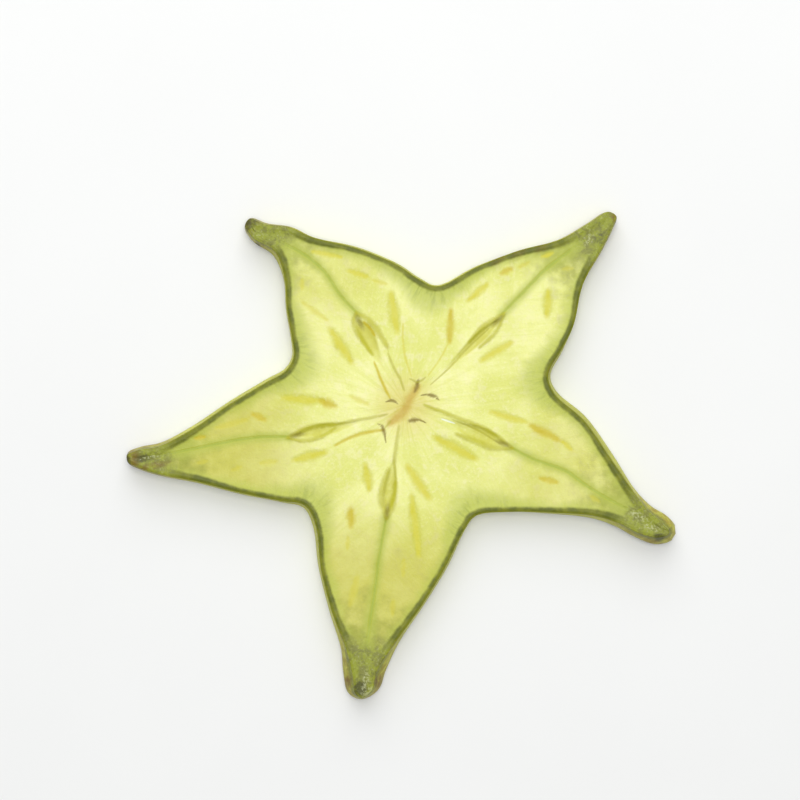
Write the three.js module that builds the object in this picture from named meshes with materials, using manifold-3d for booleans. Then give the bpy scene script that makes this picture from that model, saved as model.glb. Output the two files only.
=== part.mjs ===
// A thin slice of star fruit (carambola), cut square across the fruit.
//
// The slice is one natural piece: five ribs round a small core, wrapped in a waxy peel. It lies on
// its wider cut face. The origin is the core's centre on that face, +Z points up through the
// slice, and all sizes are in millimetres.

import * as THREE from 'three';
import { mergeVertices } from 'three/addons/utils/BufferGeometryUtils.js';
import Module from 'manifold-3d';

// ---------------------------------------------------------------- driving dimensions (mm)

const THICKNESS = 4.0; // between the two cut faces

// The peel leans in from the lower cut to the upper one and swells a little on the way. Each row
// is a height, as a share of the thickness, and the share of the rib's lean that is used up there.
const PEEL_ROWS = [
  { height: 0.0, leanShare: 0.0, tuck: 0.18 },
  { height: 0.1, leanShare: 0.0, tuck: 0.0 },
  { height: 0.5, leanShare: 0.32, tuck: 0.0 },
  { height: 1.0, leanShare: 1.0, tuck: 0.0 },
];

const SAMPLES_PER_SPAN = 4; // outline samples between two outline points
const MIDRIB_STEPS = 10; // face vertices along each midrib
const CURL_START = 0.5; // share of a rib's reach where its tip starts to lift off the table

// The ribs, anticlockwise. `outline` is the slice at its widest, near the lower cut, from the
// valley before the rib to the valley after it. Each point is [x, y, lean]: lean is how far the
// peel has moved in by the upper cut. `midrib` is the rib's middle line, from the core to the
// middle of its tip, and `lift` is how far the tip curls up off the table.
const RIBS = [
  {
    name: 'upper_right',
    lift: 0.25,
    midrib: [[13.2, 12.2], [22.4, 20.7], [26.9, 24.6]],
    outline: [
      [19.8, 4.0, 0.5], [21.4, 7.3, 0.35], [22.8, 10.6, 0.15], [24.1, 16.2, 0.15],
      [26.7, 20.8, 0.3], [28.2, 23.8, 0.3], [28.7, 25.4, 0.25], [27.4, 26.2, 0.2],
      [24.6, 24.6, 0.2], [20.9, 22.5, 0.2], [15.3, 20.9, 0.1], [9.5, 18.8, 0.25],
    ],
  },
  {
    name: 'upper_left',
    lift: 0.3,
    midrib: [[-6.5, 11.9], [-13.1, 20.3], [-16.6, 22.3], [-20.4, 23.9]],
    outline: [
      [4.3, 16.3, 0.3], [2.0, 17.3, 0.35], [-0.9, 19.2, 0.35], [-6.5, 21.5, 0.35],
      [-12.4, 22.8, 0.2], [-15.4, 24.2, 0.3], [-18.7, 24.7, 0.4], [-21.0, 25.4, 0.35],
      [-21.8, 24.1, 0.3], [-20.6, 22.2, 0.3], [-17.9, 20.3, 0.5], [-16.5, 17.0, 0.3],
      [-16.2, 13.0, 0.3], [-15.5, 8.8, 0.3],
    ],
  },
  {
    name: 'left',
    lift: 0.3,
    midrib: [[-15.6, -4.2], [-26.9, -5.9], [-36.4, -7.2]],
    outline: [
      [-15.4, 6.6, 0.4], [-16.3, 5.0, 0.45], [-18.9, 3.5, 0.5], [-23.9, 0.5, 0.5],
      [-29.0, -2.9, 0.5], [-33.2, -5.1, 0.45], [-36.0, -5.7, 0.4], [-37.7, -6.5, 0.4],
      [-37.6, -7.9, 0.4], [-36.2, -8.7, 0.4], [-33.4, -9.6, 0.35], [-28.3, -10.6, 0.35],
      [-22.5, -12.1, 0.35], [-16.5, -13.3, 0.35],
    ],
  },
  {
    name: 'bottom',
    lift: 0.3,
    midrib: [[-2.6, -15.5], [-4.6, -29.6], [-5.9, -38.0]],
    outline: [
      [-13.8, -14.0, 0.55], [-12.5, -16.6, 0.55], [-11.8, -21.9, 0.45], [-10.3, -28.0, 0.5],
      [-8.7, -33.2, 0.85], [-8.4, -36.3, 1.3], [-7.7, -39.2, 1.1], [-5.8, -40.0, 0.6],
      [-3.6, -38.7, 0.9], [-2.6, -36.1, 1.2], [-0.8, -32.3, 0.6], [2.6, -27.2, 0.4],
      [5.8, -22.0, 0.4], [8.2, -17.0, 0.3],
    ],
  },
  {
    name: 'lower_right',
    lift: 0.9,
    midrib: [[14.0, -5.5], [24.7, -11.2], [34.8, -16.9]],
    outline: [
      [9.6, -15.15, 0.25], [14.0, -14.55, 0.15], [19.8, -14.8, 0.3], [25.4, -15.4, 0.5],
      [28.5, -16.45, 0.6], [31.2, -17.9, 0.7], [34.0, -18.9, 1.1], [36.3, -18.3, 1.3],
      [36.8, -16.7, 1.35], [35.6, -15.1, 1.3], [33.4, -13.7, 0.9], [31.2, -11.4, 0.55],
      [28.3, -6.8, 0.75], [24.6, -1.6, 0.7], [20.6, 1.9, 0.6],
    ],
  },
];

// Seed chambers, one in each rib. Their seeds are gone, and each cut face opens them as a narrow
// trough: from its inner end by the core to its outer end, with its greatest width and its depth.
const CHAMBERS = [
  { inner: [3.4, 2.8], outer: [13.2, 12.1], width: 1.4, depth: 0.8 },
  { inner: [-2.2, 3.4], outer: [-6.5, 11.9], width: 1.9, depth: 1.0 },
  { inner: [-3.6, -1.9], outer: [-15.4, -4.2], width: 1.7, depth: 0.9 },
  { inner: [-1.2, -4.6], outer: [-2.5, -15.2], width: 1.7, depth: 0.9 },
  { inner: [3.4, -1.4], outer: [14.0, -5.5], width: 2.1, depth: 1.0 },
];
const CHAMBER_STEPS = 12; // along a trough
const CHAMBER_SIDES = 12; // round a trough
const CHAMBER_SWELL = 1.5; // above 1, the widest place moves towards the outer end
const CHAMBER_STANDOFF = 0.12; // how far the middle of a trough's round section is off the face

// ---------------------------------------------------------------- finish

const fleshMaterial = new THREE.MeshStandardMaterial({
  name: 'flesh',
  color: 0xe2e79a,
  roughness: 0.38,
  metalness: 0.0,
});

// ---------------------------------------------------------------- outline

/** Eased step from 0 at `low` to 1 at `high`. */
function easedStep(low, high, value) {
  return THREE.MathUtils.smoothstep(value, low, high);
}

/** The outline's farthest point from the core: its index, the rib's reach and its direction. */
function ribAxis(rib) {
  const distances = rib.outline.map(([x, y]) => Math.hypot(x, y));
  const reach = Math.max(...distances);
  const tipIndex = distances.indexOf(reach);
  const [x, y] = rib.outline[tipIndex];
  return { tipIndex, reach, direction: new THREE.Vector2(x, y).normalize() };
}

/** How far the slice has curled up off the table at a place. */
function curlAt(x, y) {
  return RIBS.reduce((height, rib) => {
    const { reach, direction } = ribAxis(rib);
    const along = direction.x * x + direction.y * y;
    return height + rib.lift * easedStep(CURL_START * reach, reach, along);
  }, 0);
}

/** Samples of the smooth closed outline: place, inward direction and peel lean. */
function sampleOutline() {
  const points = RIBS.flatMap((rib) => rib.outline.map((point) => new THREE.Vector3(...point)));
  const curve = new THREE.CatmullRomCurve3(points, true, 'centripetal');
  const count = points.length * SAMPLES_PER_SPAN;
  return Array.from({ length: count }, (_, index) => {
    const share = index / count;
    const place = curve.getPoint(share);
    const tangent = curve.getTangent(share).setZ(0).normalize();
    const inward = new THREE.Vector2(-tangent.y, tangent.x);
    return { x: place.x, y: place.y, lean: place.z, inward };
  });
}

/** One closed row of the peel, from the outline and the row's place in the section. */
function peelRow(outline, { height, leanShare, tuck }) {
  return outline.map(({ x, y, lean, inward }) => {
    const inset = lean * leanShare + tuck;
    const px = x + inward.x * inset;
    const py = y + inward.y * inset;
    return new THREE.Vector3(px, py, height * THICKNESS + curlAt(px, py));
  });
}

// ---------------------------------------------------------------- solids

/**
 * Triangles between two lines of vertices that run the same way, `left` to the left of `right`.
 * Each triangle steps on along the line that gives the shorter edge across.
 */
function stripTriangles(points, left, right) {
  const triangles = [];
  let a = 0;
  let b = 0;
  const gap = (i, j) => points[left[i]].distanceTo(points[right[j]]);
  while (a + 1 < left.length || b + 1 < right.length) {
    const onlyLeft = b + 1 === right.length;
    const onlyRight = a + 1 === left.length;
    if (onlyLeft || (!onlyRight && gap(a + 1, b) < gap(a, b + 1))) {
      triangles.push([left[a], right[b], left[a + 1]]);
      a += 1;
    } else {
      triangles.push([left[a], right[b], right[b + 1]]);
      b += 1;
    }
  }
  return triangles;
}

/** Midrib vertices of one cut face, from the core out: one shared core, then each rib's own. */
function midribPoints(rib, height) {
  const places = [[0, 0], ...rib.midrib].map(([x, y]) => new THREE.Vector3(x, y, 0));
  const curve = new THREE.CatmullRomCurve3(places, false, 'centripetal');
  const points = curve.getSpacedPoints(MIDRIB_STEPS).slice(1);
  return points.map(({ x, y }) => new THREE.Vector3(x, y, height + curlAt(x, y)));
}

/**
 * One cut face: strips from each midrib out to the rim on both sides of the rib. Adds the face's
 * own vertices to `points` and gives its triangles, facing up.
 */
function cutFace(points, rimStart, rimCount, height) {
  const core = points.push(new THREE.Vector3(0, 0, height)) - 1;
  const triangles = [];
  let rimIndex = 0;
  RIBS.forEach((rib) => {
    const own = midribPoints(rib, height);
    const midrib = [core, ...own.map((_, step) => points.length + step)];
    points.push(...own);
    const tip = rimIndex + ribAxis(rib).tipIndex * SAMPLES_PER_SPAN;
    const end = rimIndex + rib.outline.length * SAMPLES_PER_SPAN;
    const rim = (from, to) => Array.from({ length: to - from + 1 }, (_, step) => (
      rimStart + ((from + step) % rimCount)
    ));
    triangles.push(...stripTriangles(points, midrib, rim(rimIndex, tip)));
    triangles.push(...stripTriangles(points, rim(tip, end).reverse(), midrib));
    rimIndex = end;
  });
  return triangles;
}

/** The star as a closed body: rows of peel with a cut face across the lowest and highest row. */
function starBody(rows) {
  const count = rows[0].length;
  const points = rows.flat();
  const triangles = [];
  for (let row = 0; row + 1 < rows.length; row += 1) {
    for (let step = 0; step < count; step += 1) {
      const next = (step + 1) % count;
      const low = row * count;
      const high = low + count;
      triangles.push([low + step, low + next, high + next]);
      triangles.push([low + step, high + next, high + step]);
    }
  }
  cutFace(points, 0, count, 0).forEach(([a, b, c]) => triangles.push([a, c, b]));
  triangles.push(...cutFace(points, (rows.length - 1) * count, count, THICKNESS));
  const geometry = new THREE.BufferGeometry().setFromPoints(points);
  geometry.setIndex(triangles.flat());
  return geometry;
}

/** A spindle that cuts one trough, with its long axis from the inner to the outer end. */
function chamberCutter({ inner, outer, width, depth }, face) {
  const start = new THREE.Vector2(...inner);
  const end = new THREE.Vector2(...outer);
  const length = start.distanceTo(end);
  const profile = Array.from({ length: CHAMBER_STEPS + 1 }, (_, step) => {
    const share = step / CHAMBER_STEPS;
    const onAxis = step === 0 || step === CHAMBER_STEPS;
    const radius = onAxis ? 0 : (width / 2) * Math.sin(Math.PI * share ** CHAMBER_SWELL);
    return new THREE.Vector2(radius, share * length);
  });
  const heading = Math.atan2(end.y - start.y, end.x - start.x);
  const geometry = new THREE.LatheGeometry(profile, CHAMBER_SIDES);
  geometry.scale(1, 1, (depth + CHAMBER_STANDOFF) / (width / 2));
  geometry.rotateZ(heading - Math.PI / 2);
  geometry.translate(start.x, start.y, face.height + face.outward * CHAMBER_STANDOFF);
  return geometry;
}

// ---------------------------------------------------------------- booleans

const wasm = await Module();
wasm.setup();

/** A three.js geometry as a manifold solid. */
function toSolid(geometry) {
  const bare = geometry.clone();
  bare.deleteAttribute('normal');
  bare.deleteAttribute('uv');
  const merged = mergeVertices(bare);
  return new wasm.Manifold(new wasm.Mesh({
    numProp: 3,
    vertProperties: new Float32Array(merged.attributes.position.array),
    triVerts: new Uint32Array(merged.index.array),
  }));
}

/** A manifold solid as a three.js geometry. */
function toGeometry(solid) {
  const { vertProperties, triVerts } = solid.getMesh();
  const geometry = new THREE.BufferGeometry();
  geometry.setAttribute('position', new THREE.BufferAttribute(new Float32Array(vertProperties), 3));
  geometry.setIndex(new THREE.BufferAttribute(new Uint32Array(triVerts), 1));
  geometry.computeVertexNormals();
  return geometry;
}

// ---------------------------------------------------------------- the slice

/** The whole slice: the peel-wrapped star with its seed chambers opened on both cut faces. */
function starFruitSlice() {
  const outline = sampleOutline();
  const star = toSolid(starBody(PEEL_ROWS.map((row) => peelRow(outline, row))));
  const faces = [{ height: 0, outward: -1 }, { height: THICKNESS, outward: 1 }];
  const troughs = CHAMBERS.flatMap((chamber) => faces.map((face) => chamberCutter(chamber, face)));
  const opened = troughs.reduce((solid, trough) => solid.subtract(toSolid(trough)), star);
  const slice = new THREE.Mesh(toGeometry(opened), fleshMaterial);
  slice.name = 'star_fruit_slice';
  return slice;
}

const starFruit = new THREE.Group();
starFruit.name = 'star_fruit';
starFruit.add(starFruitSlice());

export default starFruit;
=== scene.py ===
"""Looks of a thin slice of star fruit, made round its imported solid.

The slice lies on its wider cut face. Its outline, thickness, tip curl and seed chambers come from
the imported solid. The mesh is one closed skin: upper cut face, peel and lower cut face.
"""

import logging
import math
from dataclasses import dataclass, field
from enum import Enum
from functools import reduce

import bmesh
import bpy
import numpy as np
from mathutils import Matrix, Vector
from mathutils.kdtree import KDTree


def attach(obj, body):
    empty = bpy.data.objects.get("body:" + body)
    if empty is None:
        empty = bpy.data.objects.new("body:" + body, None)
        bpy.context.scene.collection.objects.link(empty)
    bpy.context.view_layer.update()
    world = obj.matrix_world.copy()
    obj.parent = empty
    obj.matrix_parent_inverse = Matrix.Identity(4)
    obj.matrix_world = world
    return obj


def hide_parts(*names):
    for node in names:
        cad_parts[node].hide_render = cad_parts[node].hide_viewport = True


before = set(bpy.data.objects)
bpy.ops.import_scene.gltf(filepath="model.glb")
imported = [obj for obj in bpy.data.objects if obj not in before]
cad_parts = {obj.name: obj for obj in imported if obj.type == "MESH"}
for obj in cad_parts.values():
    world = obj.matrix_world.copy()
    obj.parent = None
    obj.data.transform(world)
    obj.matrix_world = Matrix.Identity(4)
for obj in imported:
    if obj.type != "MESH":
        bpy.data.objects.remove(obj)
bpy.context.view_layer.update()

LOG = logging.getLogger("star_fruit")
MM = 0.001
NODE_NAME = "star_fruit_slice"
BODY_NAME = "root"

Colour = tuple[float, float, float, float]
Point = tuple[float, float]
Span = tuple[float, float]

NOISE_MIDDLE = 0.5
MIX_BELOW, MIX_OVER, MIX_RESULT = 6, 7, 2  # where the Mix node keeps its colour sockets


def srgb(red: int, green: int, blue: int) -> Colour:
    """Turns a screen colour into the linear colour that a shader takes.

    Args:
        red: Red from 0 to 255.
        green: Green from 0 to 255.
        blue: Blue from 0 to 255.

    Returns:
        The linear colour with full alpha.
    """
    def linear(value: int) -> float:
        """One channel, without the screen's curve."""
        share = value / 255.0
        return share / 12.92 if share <= 0.04045 else ((share + 0.055) / 1.055) ** 2.4

    return (linear(red), linear(green), linear(blue), 1.0)


def eased(low: float, high: float, value: np.ndarray) -> np.ndarray:
    """Smooth step from 0 to 1.

    Args:
        low: Where the step leaves 0; it may be the larger of the two.
        high: Where it reaches 1.
        value: What is measured.

    Returns:
        The step's height at each value.
    """
    share = np.clip((value - low) / (high - low), 0.0, 1.0)
    return share * share * (3.0 - 2.0 * share)


# ------------------------------------------------------------------ what the slice is made of


class Layer(Enum):
    """Which set of strands one belongs to; strands of one set keep clear of each other."""

    MIDRIB = "midrib"
    VEIN = "vein"
    CORE = "core"
    INSET = "inset"
    LEFT_WALL = "left_wall"
    RIGHT_WALL = "right_wall"
    ARM = "arm"


class Tone(Enum):
    """How a strand shows in the cut face: (strength, place on the ramp of strand colours)."""

    BROWN = (0.84, 0.0)
    WALL = (0.78, 0.26)
    THIN_WALL = (0.62, 0.20)
    GREEN = (0.66, 0.36)
    FAINT = (0.50, 0.60)
    YELLOW = (0.82, 0.56)
    STRONG = (0.90, 0.54)
    THREAD = (0.55, 0.60)
    AMBER = (0.88, 0.74)
    CORE = (0.80, 0.88)
    # GLINT paints a highlight: a near-white streak that stands in for a glint of light
    GLINT = (1.00, 1.0)


@dataclass(frozen=True)
class Strand:
    """One line in the cut face: a vein, chamber wall or fine thread of firmer tissue, or a painted
    highlight.

    Places are (along, left) in the rib's own axes, in hundredths of the rib's reach.
    """

    points: tuple[Point, ...]
    width: float
    tone: Tone
    layer: Layer = Layer.VEIN


class SpotKind(Enum):
    """What a spot on a tip looks like."""

    DARK = "dark_spot"
    BROWN = "brown_spot"
    # painted highlight: pale spots that stand in for glints of light on the wet tips
    PAINTED_GLINT = "pale_spot"


@dataclass(frozen=True)
class Spot:
    """An oblong spot on a rib's tip, in the rib's own axes, in hundredths of its reach."""

    middle: Point
    length: float
    width: float
    kind: SpotKind
    strength: float = 1.0


@dataclass(frozen=True)
class RibPlan:
    """What grows inside one rib, in the rib's own axes, in hundredths of its reach."""

    name: str
    midrib: tuple[Point, ...]
    strands: tuple[Strand, ...]
    spots: tuple[Spot, ...]
    green_start: float
    tip_start: float
    ripeness: float


def vein(start: Point, end: Point, width: float, tone: Tone, layer: Layer = Layer.VEIN) -> Strand:
    """A short straight strand; its width is in millimetres."""
    return Strand((start, end), width * MM, tone, layer)


def wall(layer: Layer, width: float, tone: Tone, *points: Point) -> Strand:
    """A long bent strand; its width is in millimetres."""
    return Strand(points, width * MM, tone, layer)


RIB_PLANS = (
    RibPlan(
        name="upper_right",
        midrib=((47, 1.0), (58, 1.6), (69, 2.3), (80, 1.4), (95.5, -0.4)),
        green_start=0.66,
        tip_start=0.83,
        ripeness=0.15,
        strands=(
            vein((34, 13.5), (27, 6.4), 1.1, Tone.AMBER),
            vein((42, 12.5), (49.5, 12.2), 1.1, Tone.YELLOW),
            vein((57, 11.5), (59.5, 10.8), 1.0, Tone.AMBER),
            vein((63, 9.0), (66, 8.2), 0.7, Tone.FAINT),
            vein((71.5, 6.2), (74, 5.2), 0.8, Tone.YELLOW),
            vein((64, -4.5), (59, -9.4), 1.45, Tone.STRONG),
            vein((74, -2.0), (75.8, -3.4), 0.7, Tone.FAINT),
            vein((31.3, -6.5), (41.8, -8.6), 1.25, Tone.YELLOW),
            wall(Layer.INSET, 0.3, Tone.THREAD, (26.5, 6.2), (22, 4.4), (13, 2.2)),
            wall(Layer.LEFT_WALL, 0.75, Tone.WALL, (47.3, 0.7), (43.5, 1.4), (40, 1.9), (36, 1.9),
                 (32, 1.4)),
            wall(Layer.RIGHT_WALL, 0.6, Tone.WALL, (47.1, 0.2), (42.7, -1.8), (38.5, -2.6),
                 (33.2, -2.6)),
            wall(Layer.INSET, 0.28, Tone.THIN_WALL, (40, 0.2), (29, 0), (19.3, -0.8), (11.3, -0.7)),
        ),
        spots=(
            Spot((90, -2.0), 7, 3.5, SpotKind.DARK, 0.6),
            Spot((94, 1.0), 4, 3, SpotKind.DARK, 0.5),
            Spot((87, 0), 4, 3, SpotKind.PAINTED_GLINT, 0.8),
            Spot((99, -1), 2, 4, SpotKind.BROWN, 0.8),
            Spot((59, 16), 6, 3, SpotKind.BROWN, 0.4),
            Spot((65.5, 12.8), 7, 3, SpotKind.BROWN, 0.4),
            Spot((73, 9), 6, 3, SpotKind.BROWN, 0.4),
        ),
    ),
    RibPlan(
        name="upper_left",
        midrib=((42, -9.2), (52, -8.8), (63, -10), (73, -8.5), (84, -4.2), (95, 1.4)),
        green_start=0.68,
        tip_start=0.84,
        ripeness=0.4,
        strands=(
            vein((72.5, -12), (64, -18.8), 0.8, Tone.YELLOW),
            vein((56.3, -18.5), (51, -21.8), 1.0, Tone.YELLOW),
            vein((47.6, -23.3), (43.6, -26), 0.7, Tone.FAINT),
            vein((38, -24.8), (26.4, -17.6), 1.55, Tone.STRONG),
            vein((66.4, -0.6), (64.2, 1.2), 0.7, Tone.FAINT),
            vein((59, 4.8), (48, 2.1), 0.8, Tone.FAINT),
            vein((42.4, 3.6), (29.1, 5.2), 1.55, Tone.STRONG),
            wall(Layer.INSET, 0.38, Tone.THREAD, (26.1, -21), (21.1, -16.7), (15.5, -13.1),
                 (7.6, -9.6)),
            wall(Layer.LEFT_WALL, 0.75, Tone.WALL, (41.7, -9), (40.4, -6.6), (36.8, -4.7),
                 (31.1, -3.7), (25, -3.1)),
            wall(Layer.LEFT_WALL, 0.45, Tone.AMBER, (21.4, -1.6), (15.5, 0.4), (9.8, 2),
                 (6.2, 2.9)),
            wall(Layer.RIGHT_WALL, 0.9, Tone.WALL, (41.3, -9.4), (37, -11), (32.6, -11.4),
                 (28.5, -10.7), (23.4, -10.1)),
            wall(Layer.RIGHT_WALL, 0.4, Tone.THIN_WALL, (20.5, -8.3), (15.5, -6.6), (9.5, -5.4),
                 (5, -3.7)),
            wall(Layer.INSET, 0.5, Tone.AMBER, (36.8, -9.1), (34, -9.5), (30.1, -9)),
        ),
        spots=(
            Spot((90, 4.6), 4.0, 3.4, SpotKind.DARK),
            Spot((98, 0.5), 6, 9, SpotKind.DARK, 0.7),
            Spot((97.5, 0.5), 6, 8, SpotKind.BROWN, 0.35),
            Spot((94, 5.5), 9, 2.4, SpotKind.BROWN, 0.5),
            Spot((93, 1.0), 4, 4, SpotKind.PAINTED_GLINT, 0.3),
        ),
    ),
    RibPlan(
        name="left",
        midrib=((43, 3.0), (53, 1.3), (61, 0.8), (72, 0.8), (96, 1.2)),
        green_start=0.72,
        tip_start=0.86,
        ripeness=0.85,
        strands=(
            vein((40.6, -10.4), (29.4, -7.2), 1.5, Tone.STRONG),
            vein((28, -6.6), (25.3, -5), 1.5, Tone.AMBER, Layer.INSET),
            vein((17.7, -6.3), (13, -3.1), 0.9, Tone.FAINT),
            vein((52.9, -6.8), (50, -4.7), 1.05, Tone.AMBER),
            vein((66.4, -5), (56.3, -5.7), 0.9, Tone.FAINT),
            vein((74.5, -2.6), (72.1, -2.6), 0.7, Tone.AMBER),
            vein((41.1, 11.5), (31.8, 10.9), 1.45, Tone.STRONG),
            vein((53.6, 10.4), (49, 10.7), 0.9, Tone.FAINT),
            vein((64, 10.7), (61.5, 10.4), 0.7, Tone.FAINT),
            vein((75.3, 6), (72.7, 6), 0.65, Tone.FAINT),
            wall(Layer.INSET, 0.55, Tone.AMBER, (26.7, 9.2), (20.6, 7.5), (14.7, 6.9), (9.3, 7.2)),
            wall(Layer.LEFT_WALL, 0.6, Tone.WALL, (42.6, 3.6), (37.1, 5.6), (31, 5.3), (26, 3.4)),
            wall(Layer.RIGHT_WALL, 0.75, Tone.WALL, (42.5, 3.2), (37.5, 1.6), (31, 1.3),
                 (25.7, 2.0)),
            wall(Layer.RIGHT_WALL, 0.45, Tone.THIN_WALL, (24.6, 2.1), (20.2, 1.8), (13.1, 2.1),
                 (6.9, 1.9)),
        ),
        spots=(
            Spot((94, 0.8), 8, 3.2, SpotKind.DARK, 0.75),
            Spot((92, 0.8), 9, 0.9, SpotKind.PAINTED_GLINT),
            Spot((100, 0.2), 3, 7, SpotKind.DARK, 0.9),
            Spot((98, 0), 5, 7, SpotKind.BROWN, 0.8),
            Spot((92, -4), 14, 2.4, SpotKind.BROWN, 0.6),
            Spot((92, 4), 14, 2.4, SpotKind.BROWN, 0.6),
        ),
    ),
    RibPlan(
        name="bottom",
        midrib=((38.4, -0.6), (51, -1.0), (63, -0.8), (74, -0.8), (95.5, -0.4)),
        green_start=0.68,
        tip_start=0.82,
        ripeness=0.85,
        strands=(
            vein((23, -9.9), (29.2, -7.9), 1.45, Tone.STRONG),
            vein((38.4, -12.6), (42.6, -12.1), 1.3, Tone.AMBER),
            vein((47.3, -12.4), (50.7, -12.1), 0.7, Tone.FAINT),
            vein((60.4, -7.4), (69, -8.2), 1.0, Tone.FAINT),
            vein((21, 4.5), (29.2, 12.1), 1.45, Tone.YELLOW),
            vein((31, 7.0), (48.5, 11.9), 1.35, Tone.STRONG, Layer.INSET),
            vein((52, 7.4), (56.7, 7.9), 0.7, Tone.FAINT),
            vein((66.3, 5.9), (70.3, 6.2), 0.8, Tone.FAINT),
            wall(Layer.LEFT_WALL, 0.85, Tone.WALL, (26.3, 0.8), (31.7, 1.0), (35.5, 0.6),
                 (38.4, -0.4)),
            wall(Layer.LEFT_WALL, 0.5, Tone.THIN_WALL, (7.3, -1.0), (13.9, -1.0), (19.7, -0.7),
                 (25, 0.6)),
            wall(Layer.RIGHT_WALL, 0.9, Tone.WALL, (22.6, -2.4), (26.9, -3.2), (32.4, -3.4),
                 (38.2, -0.8)),
        ),
        spots=(
            Spot((93.5, 0.8), 5.5, 2.2, SpotKind.PAINTED_GLINT),
            Spot((97, -0.8), 6.0, 6.0, SpotKind.DARK, 0.85),
            Spot((97, 1.5), 5.0, 4.0, SpotKind.PAINTED_GLINT, 0.8),
            Spot((86, -1.5), 6, 2.2, SpotKind.DARK, 0.35),
            Spot((96, -5.2), 5, 2.2, SpotKind.BROWN),
            Spot((94, 5.0), 5, 2.6, SpotKind.BROWN, 0.9),
            Spot((90, -5), 4, 1.6, SpotKind.DARK, 0.5),
        ),
    ),
    RibPlan(
        name="lower_right",
        midrib=((39, 2.9), (48, 2.7), (60, 3.9), (66.6, 2.7), (95, 1.2)),
        green_start=0.66,
        tip_start=0.84,
        ripeness=0.55,
        strands=(
            vein((28, 10.8), (38.8, 12.8), 1.15, Tone.YELLOW),
            vein((42.3, 12.6), (51.3, 12.5), 1.25, Tone.AMBER),
            vein((54.2, 12.4), (57.2, 11.5), 0.9, Tone.YELLOW),
            vein((15.2, -5.4), (28.7, -5.9), 1.6, Tone.STRONG),
            vein((53, -2), (57.7, -1), 0.9, Tone.AMBER),
            vein((71.2, 0), (73.2, -0.3), 0.8, Tone.FAINT),
            wall(Layer.LEFT_WALL, 0.62, Tone.WALL, (6.1, 3), (11.7, 3.5), (19.2, 4.0), (26.4, 4.8),
                 (32.8, 4.4), (38.9, 3.1)),
            wall(Layer.INSET, 0.28, Tone.THIN_WALL, (16.6, 2.6), (22.4, 3.1), (27.7, 3.1),
                 (35.1, 2.3)),
            wall(Layer.RIGHT_WALL, 0.8, Tone.WALL, (20.4, -1.1), (27.3, -0.6), (33.1, 0.0),
                 (39.1, 2.8)),
            # painted highlight: a near-white glint streak in the chamber, laid like a strand
            wall(Layer.ARM, 0.3, Tone.GLINT, (13.2, 1.2), (15.3, 1.5), (17.9, 1.8)),
        ),
        spots=(
            Spot((88, 1.0), 7, 2.4, SpotKind.PAINTED_GLINT, 0.9),
            Spot((93.5, -0.5), 5, 2.6, SpotKind.PAINTED_GLINT, 0.8),
            Spot((97.5, -2.4), 5.0, 3.6, SpotKind.DARK, 0.85),
            Spot((84, -1), 5, 3, SpotKind.DARK, 0.25),
            Spot((98, -5.0), 6, 3, SpotKind.BROWN, 0.7),
        ),
    ),
)

CORE_STRANDS = (
    wall(Layer.CORE, 1.6, Tone.CORE, (1.5, 2.2), (0.6, 0.8), (0.1, -0.4), (-0.8, -1.5),
         (-1.8, -2.3)),
    wall(Layer.INSET, 0.6, Tone.BROWN, (1.8, 3.2), (1.6, 2.5), (1.35, 1.9)),
    wall(Layer.ARM, 0.35, Tone.THIN_WALL, (0.7, 3.5), (1.8, 3.1), (2.7, 3.7)),
    wall(Layer.ARM, 0.55, Tone.BROWN, (-2.0, 0.65), (-1.4, 0.5)),
    wall(Layer.ARM, 0.3, Tone.BROWN, (-2.6, 0.4), (-1.7, 0.7), (-1.0, 0.2)),
    wall(Layer.ARM, 0.6, Tone.BROWN, (3.2, 1.35), (4.1, 1.2)),
    wall(Layer.ARM, 0.3, Tone.BROWN, (2.2, 1.3), (3.6, 1.4), (4.6, 0.7)),
    wall(Layer.ARM, 0.7, Tone.BROWN, (0.7, -2.1), (1.7, -2.0)),
    wall(Layer.ARM, 0.3, Tone.BROWN, (0.5, -2.6), (0.9, -2.2), (1.8, -2.0), (2.8, -2.4)),
    wall(Layer.ARM, 0.65, Tone.BROWN, (-3.0, -3.0), (-2.8, -3.9)),
    wall(Layer.ARM, 0.3, Tone.BROWN, (-3.6, -2.6), (-2.9, -3.1), (-2.8, -3.9), (-2.6, -5.0)),
    wall(Layer.LEFT_WALL, 0.35, Tone.THIN_WALL, (-2.6, -3.0), (-1.9, -2.1)),
)
CORE_UNIT = MM


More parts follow.
